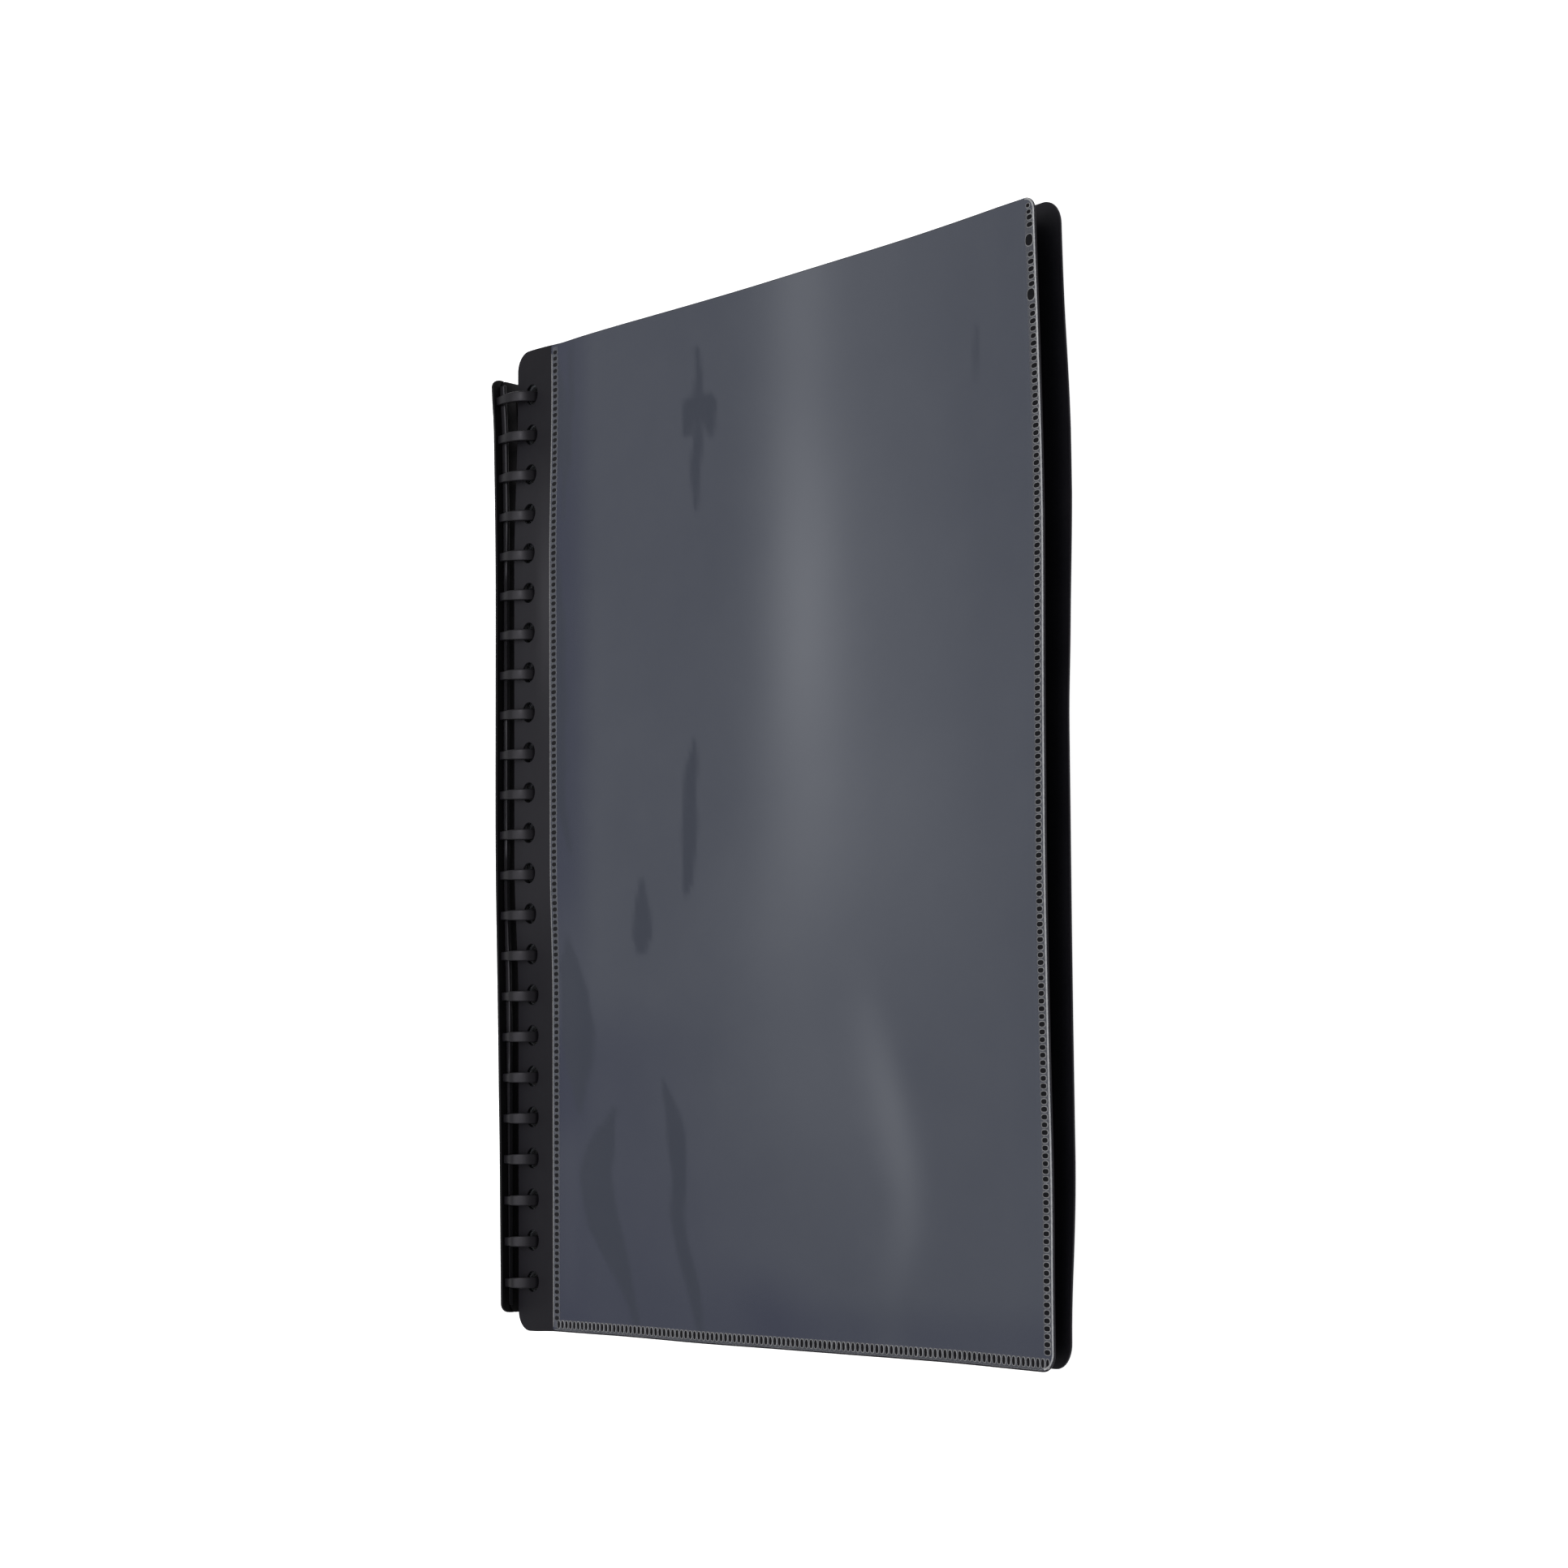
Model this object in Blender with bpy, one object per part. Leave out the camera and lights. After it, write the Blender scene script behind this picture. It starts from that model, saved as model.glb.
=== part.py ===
"""Refillable display book, A4: two flexible covers, a clear insert pocket on the front cover,
twenty clear document pockets, and a spine whose round loops pass through the punched edges.

The book lies closed on its back cover. X runs from the spine (-X) to the fore-edge (+X),
Y from the foot of the book (-Y) to its head (+Y), Z up. The origin is the centre of the
footprint, on the surface that the book lies on. Sizes below are in millimetres.
"""

import math

import bmesh
import bpy
from mathutils import Vector

MM = 0.001

# Covers
COVER_W, COVER_H, COVER_T = 240.0, 309.0, 0.7
COVER_MARGIN = 1.6            # cover's bound edge, past the loops' centre line towards the spine
CORNER_R = 7.0
# Punching
HOLES, PITCH = 23, 12.7
HOLE_X = 6.3                  # covers' hole centres, from the loops' centre line
COVER_HOLE_R = 3.3
POCKET_HOLE_X = 6.9           # pockets' hole centres
POCKET_HOLE = 5.4             # side of a pocket's square punching
# Pockets
POCKETS, POCKET_T = 20, 0.13
POCKET_X0, POCKET_X1 = 1.6, 228.0
POCKET_H = 304.0
# Stack at the loops
STACK_T = 7.0                 # outside of back cover to outside of front cover
FACE_GAP = 0.3                # cover to nearest pocket
# Loops and spine
LOOP_R, LOOP_T, LOOP_W = 7.0, 1.4, 2.8      # centre-line radius, radial thickness, width along Y
LOOP_ARC = 96.0               # half the round part, in degrees
LOOP_END = 6.5                # height of a loop's centre line where it meets the spine wall
WALL_IN, WALL_T, WALL_HALF = -6.6, 1.0, 7.7 # spine wall: inner face, thickness, half of its width
SPINE_L, SPINE_SHIFT = 293.0, -0.4          # the spine hangs this much towards the foot
# Loops' centre above the surface, and where it is in X
AXIS_Z = LOOP_R + LOOP_T / 2
WIDTH = -WALL_IN + WALL_T - COVER_MARGIN + COVER_W
AXIS_X = -WIDTH / 2 - WALL_IN + WALL_T
# How each sheet bends along X: it falls by DRAPE between two places, and its fore-edge lifts by FLARE from a third
DRAPE = AXIS_Z - STACK_T / 2
BACK_BEND = {"from": 12.0, "to": 76.0, "fall": DRAPE, "flare_from": 178.0, "flare": 2.4}
PAGE_BEND = BACK_BEND
FRONT_BEND = {"from": 14.0, "to": 125.0, "fall": 3.0, "flare_from": 165.0, "flare": 3.7}
# Clear insert pocket on the front cover
OVERLAY_T, OVERLAY_GAP = 0.15, 0.12
OVERLAY_X0 = COVER_W - 221.6 - COVER_MARGIN
OVERLAY_X1 = COVER_W - 0.8 - COVER_MARGIN


def clear_scene():
    for o in list(bpy.data.objects):
        bpy.data.objects.remove(o, do_unlink=True)


def material(name, colour, roughness, alpha=1.0, coat=0.0):
    m = bpy.data.materials.new(name)
    m.use_nodes = True
    b = m.node_tree.nodes["Principled BSDF"]
    b.inputs["Base Color"].default_value = (*colour, 1.0)
    b.inputs["Roughness"].default_value = roughness
    b.inputs["Metallic"].default_value = 0.0
    b.inputs["Alpha"].default_value = alpha
    b.inputs["Coat Weight"].default_value = coat
    return m


def add_object(name, mesh, mat=None, helper=False):
    o = bpy.data.objects.new(name, mesh)
    bpy.context.scene.collection.objects.link(o)
    if mat:
        mesh.materials.append(mat)
    if helper:
        o.hide_render = True
        o.display_type = "WIRE"
    return o


def prism(name, loop, direction, mat=None, helper=False):
    """A closed solid: the planar loop of points, swept by the vector direction. All in millimetres."""
    bm = bmesh.new()
    face = bm.faces.new([bm.verts.new(Vector(p) * MM) for p in loop])
    swept = bmesh.ops.extrude_face_region(bm, geom=[face])
    moved = [g for g in swept["geom"] if isinstance(g, bmesh.types.BMVert)]
    bmesh.ops.translate(bm, verts=moved, vec=Vector(direction) * MM)
    bmesh.ops.recalc_face_normals(bm, faces=bm.faces)
    mesh = bpy.data.meshes.new(name)
    bm.to_mesh(mesh)
    bm.free()
    return add_object(name, mesh, mat, helper)


def boolean(obj, cutter, operation):
    m = obj.modifiers.new(operation.lower() + "_" + cutter.name, "BOOLEAN")
    m.operation = operation
    m.object = cutter
    m.solver = "EXACT"
    return m


def smooth_step(t):
    t = min(1.0, max(0.0, t))
    return t * t * (3 - 2 * t)


def bent(x, bend):
    """Height of a sheet over its height at the loops, at x from the loops' centre line."""
    down = bend["fall"] * smooth_step((x - bend["from"]) / (bend["to"] - bend["from"]))
    span = COVER_W - COVER_MARGIN - bend["flare_from"]
    up = bend["flare"] * max(0.0, (x - bend["flare_from"]) / span) ** 2
    return up - down


def stations(x0, x1, bend):
    xs = [bend["from"] + (bend["to"] - bend["from"]) * k / 5 for k in range(6)]
    if bend["flare"]:
        span = COVER_W - COVER_MARGIN - bend["flare_from"]
        xs += [bend["flare_from"] + span * k / 4 for k in range(5)]
    return [x0] + [x for x in xs if x0 + 1 < x < x1 - 1] + [x1]


def rounded_rectangle(x0, x1, y0, y1, radii, steps):
    """Points of a rectangle with its own radius at each corner: (x0,y0), (x1,y0), (x1,y1), (x0,y1)."""
    corners = [(x0, y0, 180), (x1, y0, 270), (x1, y1, 0), (x0, y1, 90)]
    points = []
    for (cx, cy, a0), r in zip(corners, radii):
        sx = 1 if cx == x0 else -1
        sy = 1 if cy == y0 else -1
        if r <= 0:
            points.append((cx, cy))
            continue
        for k in range(steps + 1):
            a = math.radians(a0 + 90 * k / steps)
            points.append((cx + sx * r + r * math.cos(a), cy + sy * r + r * math.sin(a)))
    return points


def outline_cutter(name, x0, x1, height, radii, steps):
    loop = rounded_rectangle(AXIS_X + x0, AXIS_X + x1, -height / 2, height / 2, radii, steps)
    return prism(name, [(x, y, -5.0) for x, y in loop], (0, 0, 30.0), helper=True)


def hole_cutter(name, hole_x, radius, sides, turn):
    """All the punch holes of one sheet as one helper: prisms on the hole line."""
    bm = bmesh.new()
    for k in range(HOLES):
        y = (k - (HOLES - 1) / 2) * PITCH
        ring = []
        for i in range(sides):
            a = math.radians(turn + 360 * i / sides)
            ring.append(bm.verts.new(Vector((AXIS_X + hole_x + radius * math.cos(a), y + radius * math.sin(a), -6.0)) * MM))
        face = bm.faces.new(ring)
        swept = bmesh.ops.extrude_face_region(bm, geom=[face])
        moved = [g for g in swept["geom"] if isinstance(g, bmesh.types.BMVert)]
        bmesh.ops.translate(bm, verts=moved, vec=Vector((0, 0, 32.0)) * MM)
    bmesh.ops.recalc_face_normals(bm, faces=bm.faces)
    mesh = bpy.data.meshes.new(name)
    bm.to_mesh(mesh)
    bm.free()
    return add_object(name, mesh, helper=True)


def sheet(name, x0, x1, base, thickness, height, mat, bend):
    """A sheet whose underside is at base above the loops' centre, bent along X, before it is trimmed."""
    xs = stations(x0 - 2.0, x1 + 2.0, bend)
    low = [(AXIS_X + x, -height / 2 - 2, AXIS_Z + base + bent(x, bend)) for x in xs]
    high = [(x, y, z + thickness) for x, y, z in reversed(low)]
    return prism(name, low + high, (0, height + 4, 0), mat)


def loop_path():
    """Centre line of one loop in the plane across the spine, from its rooted end at the back round to its free tip."""
    end_x = WALL_IN + 0.15
    steps = 8
    arc = []
    for k in range(steps + 1):
        a = math.radians(-LOOP_ARC + 2 * LOOP_ARC * k / steps)
        arc.append((LOOP_R * math.cos(a), LOOP_R * math.sin(a)))
    mid_x, mid_z = 0.5 * (end_x + arc[0][0]), LOOP_R - 0.15
    return [(end_x + 0.35, -LOOP_END), (mid_x, -mid_z)] + arc + [(mid_x, mid_z), (end_x, LOOP_END)]


def loop_section():
    """Section of a loop, flat inside and chamfered outside: (across the band, along Y)."""
    t, w, c = LOOP_T / 2, LOOP_W / 2, 0.5
    return [(-t, -w), (-t, w), (t - c, w), (t, w - c), (t, -w + c), (t - c, -w)]


def add_loop(bm, y):
    path = loop_path()
    rings = []
    for i, (px, pz) in enumerate(path):
        ax, az = path[max(0, i - 1)]
        bx, bz = path[min(len(path) - 1, i + 1)]
        if i == len(path) - 1 or i == 0:
            tx, tz = (-1.0, 0.0) if i else (1.0, 0.0)
        else:
            tx, tz = bx - ax, bz - az
        n = math.hypot(tx, tz)
        tx, tz = tx / n, tz / n
        nx, nz = tz, -tx                       # outward across the band
        ring = []
        for across, along in loop_section():
            ring.append(bm.verts.new(Vector((AXIS_X + px + nx * across, y + along, AXIS_Z + pz + nz * across)) * MM))
        rings.append(ring)
    for a, b in zip(rings, rings[1:]):
        for k in range(len(a)):
            j = (k + 1) % len(a)
            bm.faces.new((a[k], a[j], b[j], b[k]))
    bm.faces.new(rings[0])
    bm.faces.new(list(reversed(rings[-1])))


def build():
    clear_scene()
    cover_black = material("cover_black", (0.018, 0.018, 0.021), 0.48)
    spine_black = material("spine_black", (0.016, 0.016, 0.018), 0.38)
    clear_film = material("clear_film", (0.30, 0.31, 0.35), 0.12, alpha=0.35)
    pocket_film = material("pocket_film", (0.72, 0.74, 0.76), 0.18, alpha=0.35)

    # Covers
    cover_outline = outline_cutter("cutter_cover_outline", -COVER_MARGIN, COVER_W - COVER_MARGIN, COVER_H, [CORNER_R] * 4, 5)
    cover_holes = hole_cutter("cutter_cover_holes", HOLE_X, COVER_HOLE_R, 8, 22.5)
    for name, base, bend in (
        ("back_cover", -STACK_T / 2, BACK_BEND),
        ("front_cover", STACK_T / 2 - COVER_T, FRONT_BEND),
    ):
        cover = sheet(name, -COVER_MARGIN, COVER_W - COVER_MARGIN, base, COVER_T, COVER_H, cover_black, bend)
        boolean(cover, cover_outline, "INTERSECT")
        boolean(cover, cover_holes, "DIFFERENCE")

    # Clear insert pocket over the front cover, open at the head
    overlay_outline = outline_cutter("cutter_overlay_outline", OVERLAY_X0, OVERLAY_X1, COVER_H - 1.6, [1.5, 6.2, 6.2, 1.5], 4)
    overlay = sheet("front_cover_overlay", OVERLAY_X0, OVERLAY_X1, STACK_T / 2 + OVERLAY_GAP, OVERLAY_T, COVER_H - 1.6, clear_film, FRONT_BEND)
    boolean(overlay, overlay_outline, "INTERSECT")

    # Document pockets
    pocket_outline = outline_cutter("cutter_pocket_outline", POCKET_X0, POCKET_X1, POCKET_H, [0, 3.0, 3.0, 0], 2)
    pocket_holes = hole_cutter("cutter_pocket_holes", POCKET_HOLE_X, POCKET_HOLE / math.sqrt(2), 4, 45)
    room = STACK_T - 2 * COVER_T - 2 * FACE_GAP
    step = (room - POCKET_T) / (POCKETS - 1)
    for k in range(POCKETS):
        base = STACK_T / 2 - COVER_T - FACE_GAP - POCKET_T - k * step
        pocket = sheet(f"pocket_{k + 1:02d}", POCKET_X0, POCKET_X1, base, POCKET_T, POCKET_H, pocket_film, PAGE_BEND)
        boolean(pocket, pocket_outline, "INTERSECT")
        boolean(pocket, pocket_holes, "DIFFERENCE")

    # Spine wall: a strip with rounded ends and a dovetail groove for the locking rail
    rail_lo, rail_hi = 4.2, 5.5
    back = WALL_IN - WALL_T
    section = [
        (back, -WALL_HALF), (back, WALL_HALF), (WALL_IN, WALL_HALF),
        (WALL_IN, rail_hi - 0.25), (WALL_IN - 0.55, rail_hi), (WALL_IN - 0.55, rail_lo),
        (WALL_IN, rail_lo + 0.25), (WALL_IN, -WALL_HALF),
    ]
    y0 = SPINE_SHIFT - SPINE_L / 2
    wall = prism("spine_back", [(AXIS_X + x, y0 - 2, AXIS_Z + z) for x, z in section], (0, SPINE_L + 4, 0), spine_black)
    ends = rounded_rectangle(y0, y0 + SPINE_L, AXIS_Z - WALL_HALF, AXIS_Z + WALL_HALF, [2.6] * 4, 4)
    wall_outline = prism("cutter_spine_outline", [(AXIS_X + back - 3, y, z) for y, z in ends], (8.0, 0, 0), helper=True)
    # a hair wider than the section across Z, so that only the rounded ends are trimmed
    for v in wall_outline.data.vertices:
        v.co.z = (v.co.z / MM - AXIS_Z) * 1.004 * MM + AXIS_Z * MM
    boolean(wall, wall_outline, "INTERSECT")

    # Comb: a strip on the wall's inner face with the loops rooted along its back edge
    strip = [(WALL_IN + 0.15, -WALL_HALF + 0.35), (WALL_IN + 0.85, -WALL_HALF + 0.35), (WALL_IN + 0.85, 1.0), (WALL_IN + 0.15, 1.2)]
    y1 = SPINE_SHIFT - SPINE_L / 2 + 2.0
    comb = prism("ring_comb", [(AXIS_X + x, y1, AXIS_Z + z) for x, z in strip], (0, SPINE_L - 4.0, 0), spine_black)
    bm = bmesh.new()
    for k in range(HOLES):
        add_loop(bm, SPINE_SHIFT + (k - (HOLES - 1) / 2) * PITCH)
    bmesh.ops.recalc_face_normals(bm, faces=bm.faces)
    loops = bpy.data.meshes.new("loops")
    bm.to_mesh(loops)
    bm.free()
    boolean(comb, add_object("helper_loops", loops, helper=True), "UNION")

    # Locking rail: a dovetailed bar that slides in the wall's groove, under the loops' free tips
    rail = [
        (WALL_IN - 0.43, rail_lo + 0.14), (WALL_IN - 0.43, rail_hi - 0.14), (WALL_IN + 0.12, rail_hi - 0.40),
        (WALL_IN + 0.14, rail_hi), (WALL_IN + 0.62, rail_hi), (WALL_IN + 1.0, rail_hi - 0.38),
        (WALL_IN + 1.0, rail_lo + 0.38), (WALL_IN + 0.62, rail_lo), (WALL_IN + 0.14, rail_lo), (WALL_IN + 0.12, rail_lo + 0.40),
    ]
    y2 = SPINE_SHIFT - SPINE_L / 2 + 2.0
    prism("locking_rail", [(AXIS_X + x, y2, AXIS_Z + z) for x, z in rail], (0, SPINE_L - 3.6, 0), spine_black)

    for o in bpy.data.objects:
        if o.type == "MESH" and o.name in ("ring_comb", "locking_rail", "spine_back"):
            o.data.shade_smooth()
            o.data.set_sharp_from_angle(angle=math.radians(35))


build()
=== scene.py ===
"""Looks of the refillable display book: fine covers, film, welds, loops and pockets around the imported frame.

Shapes below are written in millimetres from the loops' centre line (x towards the fore-edge, z up, y along the
spine), and are turned into metres in the row frame when a mesh is made.
"""
import math

import bmesh
import bpy
import numpy as np
from mathutils import Matrix, Vector, geometry


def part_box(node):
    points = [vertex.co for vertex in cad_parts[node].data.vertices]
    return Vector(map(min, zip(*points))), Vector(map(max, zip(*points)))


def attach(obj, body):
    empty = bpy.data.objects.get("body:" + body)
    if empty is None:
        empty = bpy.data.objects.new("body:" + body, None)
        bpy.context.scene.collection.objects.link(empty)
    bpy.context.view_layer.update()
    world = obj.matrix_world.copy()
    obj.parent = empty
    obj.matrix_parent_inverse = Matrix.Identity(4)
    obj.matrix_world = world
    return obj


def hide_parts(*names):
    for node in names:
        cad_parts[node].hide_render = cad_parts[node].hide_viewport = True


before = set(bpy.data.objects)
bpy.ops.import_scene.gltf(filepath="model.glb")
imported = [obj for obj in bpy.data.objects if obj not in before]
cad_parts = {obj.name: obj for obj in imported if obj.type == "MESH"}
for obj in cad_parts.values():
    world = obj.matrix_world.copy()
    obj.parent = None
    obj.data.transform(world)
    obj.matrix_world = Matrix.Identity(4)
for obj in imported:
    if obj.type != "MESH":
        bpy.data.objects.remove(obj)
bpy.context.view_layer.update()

MM = 0.001
spine_lo, spine_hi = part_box("spine_back")
cover_lo, cover_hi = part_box("back_cover")
AX = spine_lo.x / MM + 7.6            # loops' centre line
AZ = 0.5 * (spine_lo.z + spine_hi.z) / MM
MARGIN = AX - cover_lo.x / MM         # covers' bound edge is this far on the spine side of the loops' centre
X_EDGE = cover_hi.x / MM - AX         # covers' fore-edge
Y_HALF = cover_hi.y / MM
HOLES, PITCH = 23, 12.7
HOLE_X, HOLE_Y, HOLE_R = 6.15, 0.5, 3.15
PAGE_HOLE_X, PAGE_HOLE_R = 6.7, 3.2
SHIFT = -0.4                          # the spine sits this much towards the foot
COVER_T = 0.7
FILM_X0, FILM_X1 = 17.2, X_EDGE + 0.15
FILM_Y0, FILM_Y1 = -Y_HALF + 0.45, Y_HALF - 0.15
SEAM_L, SEAM_R, SEAM_B = 19.45, X_EDGE - 2.35, -Y_HALF + 2.28      # centre lines of the welds
FRONT = dict(a=14.0, b=125.0, fall=3.0, c=165.0, flare=3.7)
BACK = dict(a=12.0, b=76.0, fall=AZ - 3.5, c=178.0, flare=2.4)
rng = np.random.default_rng(7)


# ---------------------------------------------------------------- surfaces

def S(t):
    t = np.clip(t, 0.0, 1.0)
    return t * t * (3 - 2 * t)


def G(v, c, w):
    return np.exp(-((v - c) / w) ** 2)


def bend(x, b):
    return b["flare"] * np.maximum(0.0, (x - b["c"]) / (X_EDGE - b["c"])) ** 2 - b["fall"] * S((x - b["a"]) / (b["b"] - b["a"]))


def front_top(x, y):
    """Outer face of the front cover."""
    z = 3.5 + bend(x, FRONT)
    z = z + 0.5 * S((y - 10) / 120) * S((x - 15) / 40) * (1 - S((x - 195) / 40))
    z = z + 0.55 * G(y, 156, 26) * S((x - 190) / 48)
    z = z - 0.95 * G(y, 74, 44) * S((x - 180) / 58)
    z = z + 0.30 * G(y, -30, 32) * S((x - 180) / 58)
    z = z - 0.40 * G(y, -105, 24) * S((x - 180) / 58)
    z = z + 1.5 * S((y + 52) / 44) * (1 - S((y - 84) / 56)) * (1 - S((x + 1.6) / 46))
    z = z + 0.8 * S((-20 - y) / 100) * S((x - 20) / 70) * (1 - S((x - 150) / 80))
    return z


def lift(x, y):
    """How the back cover and the pockets warp near the fore-edge."""
    f = np.maximum(0.0, (x - 158) / (X_EDGE - 158)) ** 2
    w = -2.45 * G(y, 84, 44) - 0.32 * G(y, 0, 40) - 0.35 * S((y - 120) / 30) + 2.8 * S((-98 - y) / 50)
    w = w + 0.5 * S((38 - y) / 24) * (1 - S((-96 - y) / 34))
    return w * f


def back_bottom(x, y):
    z = -3.5 + bend(x, BACK) + lift(x, y)
    return np.maximum(z, -AZ + 0.02)


def page_bottom(k, x, y):
    room = 7.0 - 2 * COVER_T - 2 * 0.3
    step = (room - 0.13) / 19
    z = 3.5 - COVER_T - 0.3 - 0.13 - k * step + bend(x, BACK) + lift(x, y)
    return np.maximum(z, -AZ + COVER_T + 0.35 + (19 - k) * step)


# contact patches, where the film clings to the cover: polylines of (x, y, half width)
PATCHES = [
    [(90.6, 141, 1.3), (90.2, 128, 2.0), (89.8, 112, 2.4), (89.3, 100, 2.1), (88.9, 93, 1.0)],
    [(86.2, 121.2, 4.6), (94.8, 120.8, 4.8)],
    [(84.9, 119.0, 3.0), (84.6, 116.2, 2.6)],
    [(96.0, 118.4, 3.2), (96.4, 115.2, 2.8)],
    [(87.4, 23, 0.9), (86.2, 14, 2.9), (84.9, 2, 3.6), (83.9, -11, 3.5), (83.4, -18, 2.8), (83.1, -22, 1.4)],
    [(62.2, -17, 0.9), (62.3, -28, 4.0), (62.2, -34, 4.5), (61.9, -39, 2.4)],
    [(28.6, 153, 0.8), (28.2, 138, 1.5), (26.6, 120, 2.2), (24.8, 108, 1.4), (24.2, 98, 0.7)],
    [(20.6, 150, 0.9), (22.4, 136, 3.2), (22.6, 124, 3.6), (21.6, 113, 1.0)],
    [(20.4, 92, 0.8), (20.6, 80, 1.8), (23.4, 66, 2.4), (23.6, 50, 2.8), (22.6, 32, 3.2), (22.4, 14, 3.6), (24.8, 2, 1.8), (27.4, -6, 0.9)],
    [(26.0, -35, 1.2), (26.4, -43, 5.0), (29.0, -53, 8.2), (31.2, -62, 8.8), (31.6, -72, 6.6), (31.2, -80, 3.4), (31.4, -86, 1.2)],
    [(49.4, -87, 1.0), (43.8, -95, 5.0), (39.8, -106, 7.9), (42.8, -118, 8.4), (47.8, -127, 6.6), (52.4, -135, 4.8), (56.8, -144, 2.9), (58.8, -151, 1.6)],
    [(71.8, -78, 1.0), (74.0, -83, 2.4), (77.8, -91, 3.6), (79.6, -104, 3.6), (79.0, -117, 3.4), (82.2, -129, 3.4), (86.4, -142, 2.9), (89.0, -151, 1.6)],
    [(212.6, 124, 0.8), (212.8, 117, 1.5), (212.4, 110, 0.8)],
]


def wobble(x, y, s, p):
    return np.sin(x / s + p) * np.cos(y / (s * 1.37) + 2.1 * p) + 0.5 * np.sin((x + y) / (s * 0.61) + 3.3 * p)


def contact(x, y):
    """1 where the film clings to the cover, 0 where it stands off it."""
    x = np.asarray(x, float)
    y = np.asarray(y, float)
    best = np.full(np.broadcast(x, y).shape, 9.0)
    xx = x + 0.7 * wobble(x, y, 5.1, 0.7)
    yy = y + 0.9 * wobble(x, y, 7.3, 1.9)
    for line in PATCHES:
        for (x0, y0, r0), (x1, y1, r1) in zip(line, line[1:]):
            t = np.clip(((xx - x0) * (x1 - x0) + (yy - y0) * (y1 - y0)) / ((x1 - x0) ** 2 + (y1 - y0) ** 2), 0, 1)
            d = np.hypot(xx - x0 - t * (x1 - x0), yy - y0 - t * (y1 - y0)) - (r0 + t * (r1 - r0))
            best = np.minimum(best, d)
    return (1 - S((best + 0.9) / 1.6)) * (1 - 0.45 * S((x - 190) / 10))


def painted_reflection(x, y):
    """Painted reflection on the film, as a multiple of its plain haze: two soft lighter bands standing in for reflected
    studio light, and painted shade where the value falls below zero.
    """
    x = np.asarray(x, float)
    y = np.asarray(y, float)
    xc = 138.5 + 1.5 * S(-y / 40)
    along = 0.50 + 0.50 * G(y, 60, 50) + 0.10 * S((y - 120) / 30)
    along = along * (1 - 0.72 * S((10 - y) / 72)) * (1 - 0.85 * S((-60 - y) / 55))
    core = np.exp(-(np.abs(x - xc) / (np.where(x < xc, 16.0, 15.6) + 6 * G(y, -18, 50))) ** 2)
    tail = np.where(x > xc, np.exp(-((x - xc) / 58) ** 2), np.exp(-((x - xc) / 24) ** 2))
    h = along * (0.50 * core + 0.34 * tail) + 0.10 * G(y, -14, 44) * G(x, 150, 42) + 0.11 * G(y, -10, 50) * G(x, 192, 24) + 0.12 * G(y, -36, 22) * G(x, 114, 22)
    # the lower painted reflection band drifts towards the fore-edge, soft on its spine side and crisper on the other
    x2 = 161 + 18.0 * S((-42 - y) / 72) - 8 * S((-116 - y) / 34)
    along2 = S((-38 - y) / 50) * (1 - 0.80 * S((-97 - y) / 46))
    side = np.where(x < x2, 9.5 - 1.5 * S((-90 - y) / 20), 7.5)
    h = h + along2 * (0.36 * np.exp(-((x - x2) / side) ** 2) + (0.10 - 0.06 * S((-85 - y) / 25)) * np.exp(-((x - x2) / np.where(x < x2, 52.0, 9.0)) ** 2))
    # the painted reflection fades towards the foot on the spine side, and below zero turns to painted shade
    # these terms lower the painted reflection, down into painted shade, in set regions of the film
    h = h - 0.22 * S((-46 - y) / 26) * (1 - 0.5 * S((-80 - y) / 30)) * (1 - S((x - 50) / 60))
    h = h - 0.15 * S((-80 - y) / 45) * (1 - S((x - 70) / 100)) - 0.06 * S((-125 - y) / 25) - 0.15 * S((-122 - y) / 20) * G(x, 118, 26)
    h = h - 0.14 * S((-136 - y) / 12) * S((x - 100) / 30) - 0.03 * S((y - 40) / 50) * (1 - S((x - 90) / 40))
    h = h - (0.22 + 0.14 * S((y + 40) / 30)) * (1 - S((x - 25) / 18)) * (1 - 0.6 * S((-86 - y) / 14))
    h = h + 0.05 * G(x, 228, 8) * G(y, 6, 45)
    return h


def painted_sheen(x, y):
    """Painted sheen on the front cover's margin: a faint lighter band standing in for a soft reflection, strongest a
    little above the middle.
    """
    broad = S((y + 45) / 30) * S((128 - y) / 25)
    return np.clip(0.30 * broad + 0.62 * G(y, 72, 26) * S((x - 8.5) / 7), 0, 1) * (1 - S((x - 20) / 4))


def film_gap(x, y):
    """Height of the film's underside over the front cover."""
    inner = S((x - SEAM_L) / 14) * S((SEAM_R - x) / 14) * S((y - SEAM_B) / 12)
    puff = 0.10 + 0.42 * inner
    puff = puff + inner * 0.05 * (np.sin(x / 17 + 0.6 * np.sin(y / 41)) + 0.8 * np.sin(y / 29 + x / 60))
    # a long soft crease that drifts towards the fore-edge in the lower half
    xc = 148 + 17 * S((-30 - y) / 90)
    puff = puff + inner * 0.20 * S((-12 - y) / 50) * G(x, xc - 10, 13)
    return puff * (1 - 0.08 * contact(x, y))


# ---------------------------------------------------------------- mesh helpers

def stretch(p, body):
    """The sheets are cut a little out of square: small moves along the spine near three of the corners."""
    p = np.asarray(p, float).copy()
    x, y = p[:, 0].copy(), p[:, 1].copy()
    if body == "front_cover":
        p[:, 1] = y + 0.55 * S((y - 120) / 30) * (1 - S((x - 8) / 18)) + 0.45 * S((-120 - y) / 30) * S((x - 6) / 12) * (1 - S((x - 48) / 50))
        p[:, 1] -= 0.30 * S((-120 - y) / 30) * S((x - 190) / 42)
    if body == "back_cover":
        p[:, 1] = y + 1.15 * S((y - 100) / 54) * S((x - 150) / 80)
        p[:, 0] = x - 0.5 * S((y - 100) / 54) * S((x - 150) / 80)
    return p


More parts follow.
